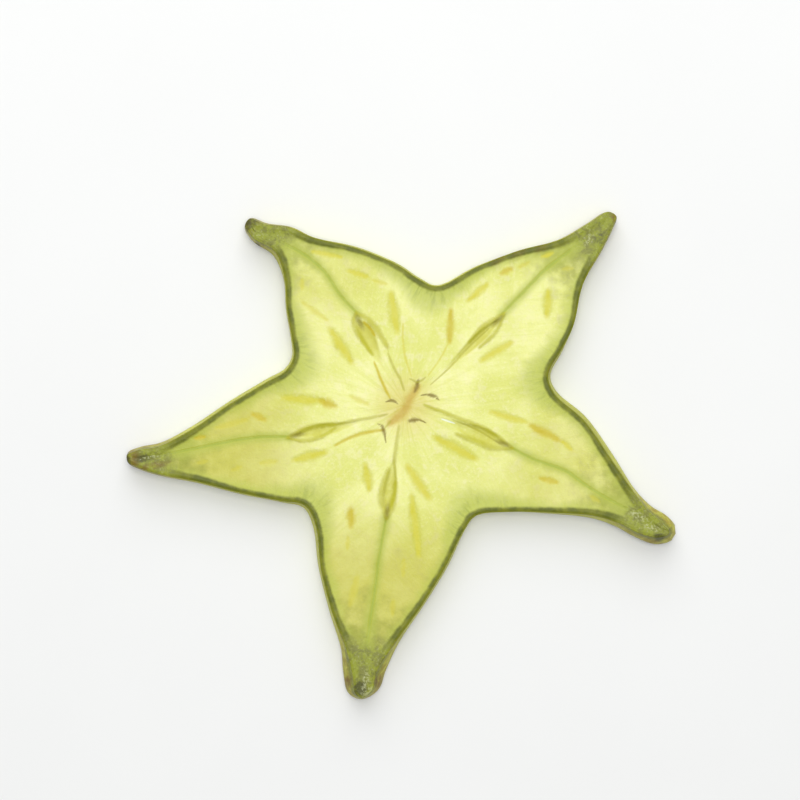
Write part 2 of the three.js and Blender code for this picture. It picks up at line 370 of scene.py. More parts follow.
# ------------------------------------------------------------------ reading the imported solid


class SmoothLine:
    """A smooth line through points, closed or open, measured by its length."""

    STEPS_PER_SPAN = 10

    def __init__(self, points: np.ndarray, closed: bool) -> None:
        """Fits cubic spans whose slopes come from each point's two neighbours.

        Args:
            points: The points that the line passes through, one row each.
            closed: Whether the last point joins the first.
        """
        knots = np.vstack([points, points[:1]]) if closed else points
        chords = np.linalg.norm(np.diff(knots, axis=0), axis=1)
        times = np.concatenate([[0.0], np.cumsum(chords)])
        slopes = np.gradient(knots, times, axis=0)
        if closed:
            last = chords[-1]
            seam = (knots[1] - knots[-2]) / (chords[0] + last)
            slopes[0] = seam
            slopes[-1] = seam
        share = np.linspace(0.0, 1.0, self.STEPS_PER_SPAN, endpoint=False)[:, None]
        spans = [self._span(knots[i], knots[i + 1], slopes[i] * chord, slopes[i + 1] * chord, share)
                 for i, chord in enumerate(chords)]
        self.points = np.vstack([*spans, knots[-1:]])
        gaps = np.linalg.norm(np.diff(self.points, axis=0), axis=1)
        self.distances = np.concatenate([[0.0], np.cumsum(gaps)])
        self.length = float(self.distances[-1])
        self.closed = closed

    @staticmethod
    def _span(a: np.ndarray, b: np.ndarray, da: np.ndarray, db: np.ndarray,
              t: np.ndarray) -> np.ndarray:
        """Points of one cubic span.

        Args:
            a: The span's first point.
            b: Its last point.
            da: The slope at a.
            db: The slope at b.
            t: Shares of the span, in one column.

        Returns:
            The point at each share.
        """
        return ((2 * t**3 - 3 * t**2 + 1) * a + (t**3 - 2 * t**2 + t) * da
                + (3 * t**2 - 2 * t**3) * b + (t**3 - t**2) * db)

    def at(self, distance: np.ndarray) -> np.ndarray:
        """Finds points on the line.

        Args:
            distance: Distances along the line; a closed line wraps round.

        Returns:
            The point at each distance.
        """
        place = np.mod(distance, self.length) if self.closed else distance
        axes = [np.interp(place, self.distances, column) for column in self.points.T]
        return np.stack(axes, axis=-1)

    def outward(self) -> np.ndarray:
        """Finds which way is out of a closed anticlockwise line.

        Returns:
            The level unit vector out of the line at each of its points.
        """
        ahead = np.roll(self.points[:-1], -1, axis=0)
        behind = np.roll(self.points[:-1], 1, axis=0)
        tangent = (ahead - behind)[:, :2]
        tangent /= np.linalg.norm(tangent, axis=1, keepdims=True)
        normal = np.stack([tangent[:, 1], -tangent[:, 0]], axis=1)
        return np.vstack([normal, normal[:1]])


class NearestOn:
    """Finds the nearest sample of a line in plan."""

    def __init__(self, line: np.ndarray) -> None:
        """Sorts the line's samples for searching.

        Args:
            line: The samples, one row each; only x and y are read.
        """
        self.samples = line[:, :2]
        self.tree = KDTree(len(line))
        for index, (x, y) in enumerate(self.samples):
            self.tree.insert((x, y, 0.0), index)
        self.tree.balance()

    def find(self, places: np.ndarray) -> tuple[np.ndarray, np.ndarray]:
        """Looks up each place.

        Args:
            places: The places in plan, one row each.

        Returns:
            The index of the nearest sample, and the distance to it.
        """
        hits = [self.tree.find((x, y, 0.0)) for x, y in places]
        return np.array([hit[1] for hit in hits]), np.array([hit[2] for hit in hits])


@dataclass(frozen=True)
class Chamber:
    """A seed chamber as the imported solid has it, in plan."""

    inner: np.ndarray
    outer: np.ndarray
    width: float


@dataclass(frozen=True)
class Rib:
    """One rib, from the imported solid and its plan."""

    plan: RibPlan
    reach: float
    along: np.ndarray
    left: np.ndarray
    valley_before: float
    tip: float
    valley_after: float
    lift: float
    chamber: Chamber

    def place(self, point: Point) -> np.ndarray:
        """A place in plan from the rib's own axes, given in hundredths of its reach."""
        return self.reach / 100 * (point[0] * self.along + point[1] * self.left)

    def local(self, plan: np.ndarray) -> tuple[np.ndarray, np.ndarray]:
        """Places in plan in the rib's own axes, in hundredths of its reach."""
        return plan @ self.along * 100 / self.reach, plan @ self.left * 100 / self.reach

    def spine(self) -> SmoothLine:
        """The rib's middle line, from the core to the middle of its tip."""
        points = [np.zeros(2), *[self.place(point) for point in self.plan.midrib]]
        return SmoothLine(np.array(points), closed=False)


class PackedSlice:
    """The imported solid's rims, ribs and chambers."""

    LID_LEAN = 0.7  # a face whose normal is nearer upright than this may belong to a cut face
    WALL_LEAN = 0.9  # a face that leans more than this belongs to a chamber's wall
    FLAT_GAP = 0.02 * MM  # how far from the cut face a point of a chamber's rim may lie
    MATCH_REACH = 7  # rim samples, each way, over which the two rims' match is smoothed
    MERGE_GAP = 1e-6  # points of the solid that are closer than this are one
    TIP_WINDOW = 20  # a tip is the farthest point within this part of the rim, each way
    CHAMBER_SECTOR = math.radians(30)  # a rib's chamber lies within this angle of its tip

    def __init__(self, node: bpy.types.Object) -> None:
        """Reads the solid.

        Args:
            node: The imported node.
        """
        mesh = bmesh.new()
        mesh.from_mesh(node.data)
        bmesh.ops.remove_doubles(mesh, verts=mesh.verts, dist=self.MERGE_GAP)
        mesh.normal_update()
        upper = self._rim(mesh, 1.0)
        lower = self._rim(mesh, -1.0)
        self.upper = SmoothLine(self._anticlockwise(upper), closed=True)
        self.lower = SmoothLine(self._anticlockwise(lower), closed=True)
        self.thickness = min(vert.co.z for vert in upper)
        self.ribs = self._ribs(self._chamber_rims(mesh, set(upper)))
        mesh.free()
        self.shift = self._match()
        self.lower_normals = self.lower.outward()

    def _match(self) -> np.ndarray:
        """Matches the two rims.

        Returns:
            How far ahead the lower rim's nearest point is, as a share of the rim, at each sample of
            the upper rim.
        """
        nearest = NearestOn(self.lower.points[:-1])
        index, _ = nearest.find(self.upper.points[:-1, :2])
        share = self.lower.distances[index] / self.lower.length
        ahead = share - self.upper.distances[:-1] / self.upper.length
        ahead = np.unwrap(ahead, period=1.0)
        window = np.hanning(2 * self.MATCH_REACH + 3)[1:-1]
        wrapped = np.concatenate([ahead[-self.MATCH_REACH:], ahead, ahead[:self.MATCH_REACH]])
        smooth = np.convolve(wrapped, window / window.sum(), mode="valid")
        return np.append(smooth, smooth[0])

    def below(self, distance: np.ndarray) -> tuple[np.ndarray, np.ndarray]:
        """Finds the lower rim under places of the upper rim.

        Args:
            distance: Places along the upper rim.

        Returns:
            The lower rim's points in plan, and the level unit vectors out of it there.
        """
        place = np.mod(distance, self.upper.length)
        ahead = np.interp(place, self.upper.distances, self.shift)
        found = np.mod(place / self.upper.length + ahead, 1.0) * self.lower.length
        normal = np.stack([np.interp(found, self.lower.distances, column)
                           for column in self.lower_normals.T], axis=1)
        return self.lower.at(found)[:, :2], normal

    def _rim(self, mesh: bmesh.types.BMesh, side: float) -> list[bmesh.types.BMVert]:
        """Walks the outer border of one cut face.

        Args:
            mesh: The merged solid.
            side: 1 for the upper cut face, -1 for the lower one.

        Returns:
            The border's points in order.
        """
        lids = {face for face in mesh.faces if face.normal.z * side > self.LID_LEAN}
        border = [edge for edge in mesh.edges
                  if sum(face in lids for face in edge.link_faces) == 1]
        ahead: dict[bmesh.types.BMVert, list[bmesh.types.BMVert]] = {}
        for edge in border:
            a, b = edge.verts
            ahead.setdefault(a, []).append(b)
            ahead.setdefault(b, []).append(a)
        longest: list[bmesh.types.BMVert] = []
        left = {vert for vert in ahead if len(ahead[vert]) == 2}
        while left:
            loop = [left.pop()]
            following = ahead[loop[0]][0]
            while following in left:
                left.discard(following)
                loop.append(following)
                neighbours = ahead[following]
                following = neighbours[1] if neighbours[0] is loop[-2] else neighbours[0]
            longest = max(longest, loop, key=len)
        return longest

    @staticmethod
    def _anticlockwise(loop: list[bmesh.types.BMVert]) -> np.ndarray:
        """Turns a loop so that it starts at its lowest x and runs anticlockwise from above.

        Args:
            loop: The loop's points.

        Returns:
            Their places in that order, one row each.
        """
        rim = np.array([vert.co for vert in loop])
        x, y = rim[:, 0], rim[:, 1]
        area = np.sum(x * np.roll(y, -1) - np.roll(x, -1) * y)
        rim = rim if area > 0 else rim[::-1]
        return np.roll(rim, -rim[:, 0].argmin(), axis=0)

    def _chamber_rims(self, mesh: bmesh.types.BMesh,
                      outer: set[bmesh.types.BMVert]) -> np.ndarray:
        """Finds where the seed chambers' walls begin on the upper face.

        Args:
            mesh: The merged solid.
            outer: The points of the face's outer border.

        Returns:
            The points, one row each.
        """
        return np.array([
            vert.co for vert in mesh.verts
            if vert not in outer and abs(vert.co.z - self.thickness) < self.FLAT_GAP
            and any(abs(face.normal.z) < self.WALL_LEAN for face in vert.link_faces)
        ])

    def _ribs(self, chamber_edges: np.ndarray) -> tuple[Rib, ...]:
        """Finds tips and valleys on the upper rim and matches them with the plans.

        Args:
            chamber_edges: Points of the chambers' rims on the upper face.

        Returns:
            The ribs, anticlockwise from the one between +X and +Y.
        """
        rim = self.upper
        radius = np.hypot(rim.points[:-1, 0], rim.points[:-1, 1])
        count = len(radius)
        reach = count // self.TIP_WINDOW
        tips = [i for i in range(count)
                if radius[i] >= radius[np.arange(i - reach, i + reach + 1) % count].max()]
        tips.sort(key=lambda i: math.atan2(rim.points[i, 1], rim.points[i, 0]) % math.tau)
        valleys = []
        for first, second in zip(tips, tips[1:] + tips[:1]):
            between = np.arange(first, second if second > first else second + count) % count
            valleys.append(int(between[radius[between].argmin()]))
        angle = np.arctan2(chamber_edges[:, 1], chamber_edges[:, 0])
        ribs = []
        for index, (plan, tip) in enumerate(zip(RIB_PLANS, tips)):
            point = rim.points[tip]
            along = point[:2] / np.linalg.norm(point[:2])
            turned = angle - math.atan2(along[1], along[0]) + math.pi
            gap = np.abs(np.mod(turned, math.tau) - math.pi)
            ribs.append(Rib(
                plan=plan,
                reach=float(np.linalg.norm(point[:2])),
                along=along,
                left=np.array([-along[1], along[0]]),
                valley_before=float(rim.distances[valleys[index - 1]]),
                tip=float(rim.distances[tip]),
                valley_after=float(rim.distances[valleys[index]]),
                lift=float(point[2]) - self.thickness,
                chamber=self._chamber(chamber_edges[gap < self.CHAMBER_SECTOR, :2]),
            ))
        return tuple(ribs)

    @staticmethod
    def _chamber(edge: np.ndarray) -> Chamber:
        """Measures one chamber.

        Args:
            edge: The points of its rim on the upper face, in plan.

        Returns:
            The chamber.
        """
        radius = np.hypot(edge[:, 0], edge[:, 1])
        inner = edge[radius.argmin()]
        outer = edge[radius.argmax()]
        axis = (outer - inner) / np.linalg.norm(outer - inner)
        aside = (edge - inner) @ np.array([-axis[1], axis[0]])
        return Chamber(inner, outer, float(aside.max() - aside.min()))

    def curl(self, places: np.ndarray, curl_start: float) -> np.ndarray:
        """How far the slice has lifted off the table at places in plan.

        Args:
            places: The places, one row each.
            curl_start: Share of a rib's reach where its tip starts to lift.

        Returns:
            The height at each place.
        """
        height = np.zeros(len(places))
        for rib in self.ribs:
            height += rib.lift * eased(curl_start * rib.reach, rib.reach, places @ rib.along)
        return height


# ------------------------------------------------------------------ nodes of a finish


Socket = bpy.types.NodeSocket


class NodeBench:
    """Adds and wires the nodes of one material."""

    def __init__(self, name: str) -> None:
        """Starts a material with an output and a Principled shader.

        Args:
            name: The material's name.
        """
        self.material = bpy.data.materials.new(name)
        self.material.use_nodes = True
        self.tree = self.material.node_tree
        self.tree.nodes.clear()
        self.shader = self.tree.nodes.new("ShaderNodeBsdfPrincipled")
        output = self.tree.nodes.new("ShaderNodeOutputMaterial")
        self.tree.links.new(self.shader.outputs["BSDF"], output.inputs["Surface"])

    def feed(self, target: Socket, value: object) -> None:
        """Links a socket to an input, or sets the input to a plain value.

        Args:
            target: The input.
            value: The socket, number, vector or colour that it takes.
        """
        if isinstance(value, bpy.types.NodeSocket):
            self.tree.links.new(value, target)
        else:
            target.default_value = value

    def attribute(self, name: str, output: str = "Fac") -> Socket:
        """Reads one of the piece's own attributes.

        Args:
            name: The attribute.
            output: Which form of it is wanted.

        Returns:
            The attribute's value.
        """
        node = self.tree.nodes.new("ShaderNodeAttribute")
        node.attribute_name = name
        return node.outputs[output]

    def place(self) -> Socket:
        """The place on the piece, in metres."""
        return self.tree.nodes.new("ShaderNodeTexCoord").outputs["Object"]

    def squeezed(self, vector: Socket, share: float) -> Socket:
        """Scales a vector's third axis, so that a noise on it runs long that way.

        Args:
            vector: The vector.
            share: What the third axis is scaled by.

        Returns:
            The scaled vector.
        """
        node = self.tree.nodes.new("ShaderNodeMapping")
        self.feed(node.inputs["Vector"], vector)
        node.inputs["Scale"].default_value = (1.0, 1.0, share)
        return node.outputs["Vector"]

    def noise(self, vector: Socket, size: float, detail: float = 3.0, rough: float = 0.6,
              twist: float = 0.0) -> Socket:
        """Soft noise.

        Args:
            vector: Where the noise is read.
            size: Size of its largest spots, in the vector's unit.
            detail: How many finer layers it has.
            rough: How strong the finer layers are.
            twist: How much the noise is bent by itself.

        Returns:
            The noise, from 0 to 1 with its middle at 0.5.
        """
        node = self.tree.nodes.new("ShaderNodeTexNoise")
        self.feed(node.inputs["Vector"], vector)
        node.inputs["Scale"].default_value = 1.0 / size
        node.inputs["Detail"].default_value = detail
        node.inputs["Roughness"].default_value = rough
        node.inputs["Distortion"].default_value = twist
        return node.outputs["Fac"]

    def vector(self, operation: str, first: object, second: object = (0.0, 0.0, 0.0)) -> Socket:
        """One sum on vectors.

        Args:
            operation: The sum, as the node names it.
            first: A vector.
            second: Another one, or the number that SCALE takes; LENGTH and NORMALIZE take none.

        Returns:
            The new vector, or a number from LENGTH.
        """
        node = self.tree.nodes.new("ShaderNodeVectorMath")
        node.operation = operation
        self.feed(node.inputs[0], first)
        if operation == "SCALE":
            node.inputs["Scale"].default_value = second
        elif operation not in ("LENGTH", "NORMALIZE"):
            self.feed(node.inputs[1], second)
        return node.outputs["Value" if operation == "LENGTH" else "Vector"]

    def cells(self, vector: Socket, size: float) -> Socket:
        """Scattered dots.

        Args:
            vector: Where the dots are read.
            size: How far apart they are, in the vector's unit.

        Returns:
            The distance to the nearest dot, in cell sizes.
        """
        node = self.tree.nodes.new("ShaderNodeTexVoronoi")
        self.feed(node.inputs["Vector"], vector)
        node.inputs["Scale"].default_value = 1.0 / size
        return node.outputs["Distance"]

    def step(self, value: Socket, start: float, full: float, top: float = 1.0) -> Socket:
        """Eased step from 0 to top.

        Args:
            value: What is measured.
            start: Where the step leaves 0; it may be the larger of the two.
            full: Where it reaches top.
            top: Its highest value.

        Returns:
            The step's height.
        """
        rising = start < full
        node = self.tree.nodes.new("ShaderNodeMapRange")
        node.interpolation_type = "SMOOTHSTEP"
        self.feed(node.inputs["Value"], value)
        node.inputs["From Min"].default_value = min(start, full)
        node.inputs["From Max"].default_value = max(start, full)
        node.inputs["To Min"].default_value = 0.0 if rising else top
        node.inputs["To Max"].default_value = top if rising else 0.0
        return node.outputs["Result"]

    def ramp(self, value: Socket, stops: tuple[tuple[float, Colour], ...]) -> Socket:
        """Reads a colour from a ramp.

        Args:
            value: The place on the ramp.
            stops: The ramp's stops as (place, colour), in order.

        Returns:
            The colour.
        """
        node = self.tree.nodes.new("ShaderNodeValToRGB")
        self.feed(node.inputs["Fac"], value)
        elements = node.color_ramp.elements
        ready = len(elements)
        for index, (place, colour) in enumerate(stops):
            stop = elements[index] if index < ready else elements.new(place)
            stop.position = place
            stop.color = colour
        return node.outputs["Color"]

    def maths(self, operation: str, first: object, second: object = 0.0) -> Socket:
        """One sum on sockets or numbers.

        Args:
            operation: The sum, as the node names it.
            first: A socket or number.
            second: Another one, where the sum takes two.

        Returns:
            The result.
        """
        node = self.tree.nodes.new("ShaderNodeMath")
        node.operation = operation
        self.feed(node.inputs[0], first)
        self.feed(node.inputs[1], second)
        return node.outputs["Value"]

    def times(self, *values: object) -> Socket:
        """The product of sockets and numbers."""
        return reduce(lambda first, second: self.maths("MULTIPLY", first, second), values)

    def plus(self, *values: object) -> Socket:
        """The sum of sockets and numbers."""
        return reduce(lambda first, second: self.maths("ADD", first, second), values)

    def sway(self, noise: Socket, size: float) -> Socket:
        """A noise moved to swing round 0, by half of size each way."""
        return self.times(self.plus(noise, -NOISE_MIDDLE), size)

    def mix(self, share: object, below: object, over: object) -> Socket:
        """Mixes two colours.

        Args:
            share: How much of the upper colour shows.
            below: The colour below.
            over: The colour over it.

        Returns:
            The mixed colour.
        """
        node = self.tree.nodes.new("ShaderNodeMix")
        node.data_type = "RGBA"
        self.feed(node.inputs["Factor"], share)
        self.feed(node.inputs[MIX_BELOW], below)
        self.feed(node.inputs[MIX_OVER], over)
        return node.outputs[MIX_RESULT]

    def wash(self, below: object, over: object, pattern: Socket, start: float, full: float,
             strength: float = 1.0) -> Socket:
        """Lays a colour on where a pattern goes from start to full.

        Args:
            below: The colour below.
            over: The colour laid on.
            pattern: What says where it shows.
            start: The pattern's value where it begins to show.
            full: The value where it shows most; it may be below start.
            strength: How much of it shows there.

        Returns:
            The mixed colour.
        """
        return self.mix(self.step(pattern, start, full, strength), below, over)

    def finished(self, colour: Socket, rough: Socket, relief: Socket,
                 feel: "Feel") -> bpy.types.Material:
        """Feeds the shader and sets how the surface feels.

        Args:
            colour: The surface's colour.
            rough: Its roughness.
            relief: Its fine relief, from 0 to 1 or a little more.
            feel: Its sheen, depth and bumps.

        Returns:
            The finished material.
        """
        bump = self.tree.nodes.new("ShaderNodeBump")
        bump.inputs["Strength"].default_value = feel.bump_share
        bump.inputs["Distance"].default_value = feel.bump_height
        self.feed(bump.inputs["Height"], relief)
        for name, value in (
            ("Base Color", colour),
            ("Roughness", rough),
            ("Normal", bump.outputs["Normal"]),
            ("IOR", feel.ior),
            ("Specular IOR Level", feel.specular),
            ("Subsurface Weight", feel.scatter),
            ("Subsurface Radius", feel.scatter_spread),
            ("Subsurface Scale", feel.scatter_depth),
            ("Coat Weight", feel.coat),
            ("Coat Roughness", feel.coat_roughness),
            ("Coat IOR", feel.coat_ior),
        ):
            self.feed(self.shader.inputs[name], value)
        return self.material


@dataclass(frozen=True)
class Feel:
    """How a surface shines, how far light goes into it and how bumpy it is."""

    ior: float
    specular: float
    scatter: float
    scatter_spread: tuple[float, float, float]
    scatter_depth: float
    coat: float
    coat_roughness: float
    coat_ior: float
    bump_height: float
    bump_share: float


@dataclass(frozen=True)
class TipPaint:
    """Mottled green tips with dark and brown spots and pale specks of painted highlight, shared by
    flesh and peel.
    """

    green: Colour = srgb(140, 148, 42)
    grey: Colour = srgb(120, 122, 54)
    deep: Colour = srgb(62, 62, 24)
    brown: Colour = srgb(116, 84, 16)
    # painted highlight colour of the tips' glint specks and spots
    pale: Colour = srgb(188, 192, 138)
    patch_size: float = 1.3 * MM
    patch_twist: float = 0.5
    grit_size: float = 0.32 * MM
    patch_sway: float = 0.9
    grit_sway: float = 0.7
    brown_strength: float = 0.85
    glint_strength: float = 0.8

    def lay(self, bench: NodeBench, colour: Socket, place: Socket, tip: Socket) -> Socket:
        """Lays the tips' colours, with their painted highlight specks, over a colour.

        Args:
            bench: The material being made.
            colour: The colour below.
            place: The place on the piece.
            tip: How far each place belongs to a tip.

        Returns:
            The mixed colour.
        """
        patches = bench.noise(place, self.patch_size, 4.0, 0.65, self.patch_twist)
        grit = bench.noise(place, self.grit_size, 2.0)
        tint = bench.wash(self.green, self.grey, patches, 0.42, 0.60)
        # painted highlight: pale grit specks of glint over the tips
        tint = bench.wash(tint, self.pale, grit, 0.55, 0.72, 0.35)
        tint = bench.wash(tint, self.deep, grit, 0.45, 0.30, 0.4)
        reach = bench.plus(tip, bench.sway(patches, self.patch_sway))
        colour = bench.wash(colour, tint, reach, 0.1, 0.85, 0.9)

        brown = bench.times(bench.attribute(SpotKind.BROWN.value), bench.step(patches, 0.25, 0.6),
                            self.brown_strength)
        colour = bench.mix(brown, colour, self.brown)
        dark = bench.plus(bench.attribute(SpotKind.DARK.value),
                          bench.sway(patches, self.patch_sway), bench.sway(grit, self.grit_sway))
        colour = bench.wash(colour, self.deep, dark, 0.3, 0.95, 0.85)
        # painted highlight: pale glint spots over the tips
        pale = bench.times(bench.attribute(SpotKind.PAINTED_GLINT.value), bench.step(grit, 0.45, 0.62),
                           self.glint_strength)
        return bench.mix(pale, colour, self.pale)


STRAND_RAMP = (
    (0.00, srgb(118, 98, 0)),
    (0.12, srgb(156, 150, 36)),
    (0.26, srgb(180, 178, 38)),
    (0.36, srgb(158, 174, 56)),
    (0.55, srgb(206, 200, 54)),
    (0.74, srgb(196, 180, 34)),
    (0.88, srgb(192, 160, 52)),
    # painted highlight: the near-white stop that the GLINT tone reads
    (0.97, srgb(238, 246, 222)),
)


@dataclass(frozen=True)
class FleshFinish:
    """Moist, slightly translucent flesh with its fibres, strands and the peel's cut edge."""

    pale: Colour = srgb(231, 233, 152)
    cream: Colour = srgb(240, 238, 180)
    green: Colour = srgb(215, 219, 116)
    ripe: Colour = srgb(190, 186, 70)
    leafy: Colour = srgb(146, 152, 48)
    near_peel: Colour = srgb(176, 186, 70)
    bristle: Colour = srgb(136, 150, 44)
    peel_edge: Colour = srgb(86, 94, 8)
    peel_edge_light: Colour = srgb(118, 122, 18)
    halo: Colour = srgb(172, 182, 70)
    hollow: Colour = srgb(196, 194, 72)
    apex: Colour = srgb(122, 112, 34)
    core_glow: Colour = srgb(212, 196, 106)
    tips: TipPaint = TipPaint()
    cloud_size: float = 6 * MM
    mottle_size: float = 1.5 * MM
    fibre_size: float = 0.6 * MM
    fibre_squeeze: float = 0.10
    grain_size: float = 0.35 * MM
    hollow_strength: float = 0.85
    ray_radius: float = 8 * MM
    ray_size: float = 0.8 * MM
    ray_drift: float = 0.07
    ray_fade: Span = (15 * MM, 5 * MM)
    ray_end_fade: Span = (7 * MM, 2 * MM)
    glow_sway: float = 3 * MM
    glow_fade: Span = (6 * MM, 1.2 * MM)
    bristle_size: float = 0.42 * MM
    bristle_squeeze: float = 0.16
    bristle_sway: float = 1.3 * MM
    bristle_fade: Span = (2.1 * MM, 0.4 * MM)
    bristle_least: float = 0.35
    band_patch: float = 3 * MM
    band_sway: float = 1.2
    band_fade: Span = (2.2 * MM, 0.3 * MM)
    valley_growth: float = 1.6
    edge_patch: float = 1.6 * MM
    edge_sway: float = 0.35 * MM
    edge_fade: Span = (0.85 * MM, 0.42 * MM)
    edge_in_valley: float = 0.12 * MM
    edge_in_green: float = 0.45 * MM
    strand_wander: float = 0.9
    strand_fray: float = 0.6
    strand_fade: Span = (1.6, 0.15)
    strand_least: float = 0.62
    strand_patches: float = 0.7
    least_rough: float = 0.30
    more_rough: float = 0.2
    feel: Feel = Feel(ior=1.38, specular=0.3, scatter=0.12, scatter_spread=(1.0, 0.85, 0.35),
                      scatter_depth=0.6 * MM, coat=0.06, coat_roughness=0.12, coat_ior=1.33,
                      bump_height=0.12 * MM, bump_share=0.6)

    def make(self) -> bpy.types.Material:
        """Builds the flesh material.

        Returns:
            The material.
        """
        bench = NodeBench("flesh")
        place = bench.place()
        rim = bench.attribute("rim_gap")
        along = bench.squeezed(bench.attribute("fibre", "Vector"), self.fibre_squeeze)
        clouds = bench.noise(place, self.cloud_size, rough=0.55)
        mottle = bench.noise(place, self.mottle_size, 4.0)
        fibres = bench.noise(along, self.fibre_size)
        fine = bench.noise(place, self.grain_size)

        colour = bench.wash(self.pale, self.green, clouds, 0.38, 0.64)
        for over, pattern, start, full, strength in (
            (self.cream, mottle, 0.48, 0.70, 0.7),
            (self.green, mottle, 0.48, 0.30, 0.5),
            (self.green, fibres, 0.50, 0.72, 0.35),
            (self.cream, fibres, 0.48, 0.30, 0.2),
            (self.cream, fine, 0.50, 0.72, 0.35),
        ):
            colour = bench.wash(colour, over, pattern, start, full, strength)
        colour = self._rays(bench, colour, place)
        ripe = bench.plus(bench.attribute("ripe"), bench.sway(clouds, 0.3), bench.sway(mottle, 0.5))
        colour = bench.wash(colour, self.ripe, ripe, -0.05, 1.1, 0.9)
        green = bench.plus(bench.attribute("green"), bench.sway(mottle, 1.0),
                           bench.sway(clouds, 0.9))
        colour = bench.wash(colour, self.leafy, green, 0.15, 1.1, 0.9)

        colour = self._bristles(bench, colour, rim)
        halo = bench.plus(bench.attribute("halo"), bench.sway(mottle, 0.5))
        colour = bench.wash(colour, self.halo, halo, 0.1, 1.1, 0.75)
        inside = bench.times(bench.attribute("chamber"), bench.step(mottle, 0.05, 0.6),
                             self.hollow_strength)
        colour = bench.mix(inside, colour, self.hollow)
        for layer in Layer:
            colour = self._strands(bench, colour, layer, mottle, fine)
        apex = bench.plus(bench.attribute("apex"), bench.sway(fine, 0.4))
        colour = bench.wash(colour, self.apex, apex, 0.25, 1.1, 0.7)
        colour = self._peel_edge(bench, colour, rim, place)
        colour = self.tips.lay(bench, colour, place, bench.attribute("tip"))

        rough = bench.plus(self.least_rough, bench.times(mottle, self.more_rough))
        relief = bench.plus(bench.times(fibres, 0.4), bench.times(fine, 0.6),
                            bench.times(mottle, 0.8))
        return bench.finished(colour, rough, relief, self.feel)

    def _rays(self, bench: NodeBench, colour: Socket, place: Socket) -> Socket:
        """Lays fine fibres that run out from the core, and the warm glow round the core.

        Args:
            bench: The material being made.
            colour: The colour below.
            place: The place on the piece.

        Returns:
            The mixed colour.
        """
        level = bench.vector("MULTIPLY", place, (1.0, 1.0, 0.0))
        radius = bench.vector("LENGTH", level)
        ray = bench.vector("SCALE", bench.vector("NORMALIZE", level), self.ray_radius)
        drawn = bench.vector("ADD", ray, bench.vector("SCALE", place, self.ray_drift))
        fibres = bench.noise(drawn, self.ray_size)
        fade = bench.step(radius, *self.ray_fade)
        ends = bench.step(radius, *self.ray_end_fade)
        for over, start, full, strength, shown in (
            (self.green, 0.50, 0.68, 0.4, fade),
            (self.cream, 0.48, 0.32, 0.25, fade),
            (self.hollow, 0.48, 0.62, 0.35, ends),
        ):
            lines = bench.times(bench.step(fibres, start, full, strength), shown)
            colour = bench.mix(lines, colour, over)
        glow = bench.plus(radius, bench.sway(fibres, self.glow_sway))
        return bench.wash(colour, self.core_glow, glow, *self.glow_fade, 0.55)

    def _bristles(self, bench: NodeBench, colour: Socket, rim: Socket) -> Socket:
        """Lays the green band along the peel and the short streaks that run in from it.

        Args:
            bench: The material being made.
            colour: The colour below.
            rim: The distance to the peel.

        Returns:
            The mixed colour.
        """
        foot = bench.attribute("rim_foot", "Vector")
        valley = bench.attribute("valley")
        streak = bench.noise(bench.squeezed(foot, self.bristle_squeeze), self.bristle_size, 2.0)
        drift = bench.noise(foot, self.band_patch, 2.0, 0.5)
        reach = bench.plus(1.0, bench.times(valley, self.valley_growth),
                           bench.sway(drift, self.band_sway))
        depth = bench.maths("DIVIDE", rim, reach)
        ragged = bench.plus(depth, bench.sway(streak, self.bristle_sway))
        colour = bench.wash(colour, self.near_peel, ragged, *self.band_fade, 0.8)
        growth = bench.plus(self.bristle_least, bench.times(valley, 1.0 - self.bristle_least))
        lines = bench.times(bench.step(streak, 0.42, 0.72, 0.55),
                            bench.step(depth, *self.bristle_fade), growth)
        return bench.mix(lines, colour, self.bristle)

    def _strands(self, bench: NodeBench, colour: Socket, layer: Layer, mottle: Socket,
                 fine: Socket) -> Socket:
        """Lays one layer of strands over the flesh, from its place beside the nearest strand.

        Args:
            bench: The material being made.
            colour: The colour below.
            layer: The layer, whose attribute holds the place, the strength and the hue.
            mottle: Noise that bends the strands and makes them patchy.
            fine: Noise that frays their edges.

        Returns:
            The mixed colour.
        """
        parts = bench.tree.nodes.new("ShaderNodeSeparateColor")
        bench.feed(parts.inputs["Color"], bench.attribute(layer.value, "Color"))
        aside, beyond, strength = parts.outputs
        hue = bench.attribute(layer.value, "Alpha")
        aside = bench.plus(aside, bench.sway(mottle, self.strand_wander))
        gap = bench.maths("SQRT", bench.plus(bench.times(aside, aside),
                                             bench.times(beyond, beyond)))
        frayed = bench.plus(gap, bench.sway(fine, self.strand_fray))
        patches = bench.plus(self.strand_least, bench.times(mottle, self.strand_patches))
        shown = bench.times(bench.step(frayed, *self.strand_fade), strength, patches)
        edge = bench.step(bench.maths("ABSOLUTE", aside), 0.3, 0.9, 0.05)
        tint = bench.ramp(bench.maths("SUBTRACT", hue, edge), STRAND_RAMP)
        return bench.mix(shown, colour, tint)

    def _peel_edge(self, bench: NodeBench, colour: Socket, rim: Socket,
                   place: Socket) -> Socket:
        """Draws the cut edge of the peel round the face, fading where a tip is mottled.

        Args:
            bench: The material being made.
            colour: The colour below.
            rim: The distance to the peel.
            place: The place on the piece.

        Returns:
            The mixed colour.
        """
        uneven = bench.noise(place, self.edge_patch)
        edge = bench.plus(rim, bench.sway(uneven, self.edge_sway),
                          bench.times(bench.attribute("valley"), -self.edge_in_valley),
                          bench.times(bench.attribute("green"), -self.edge_in_green))
        tint = bench.wash(self.peel_edge, self.peel_edge_light, uneven, 0.35, 0.7)
        shown = bench.times(bench.step(edge, *self.edge_fade, 0.95),
                            bench.step(bench.attribute("tip"), 1.0, 0.2))
        return bench.mix(shown, colour, tint)


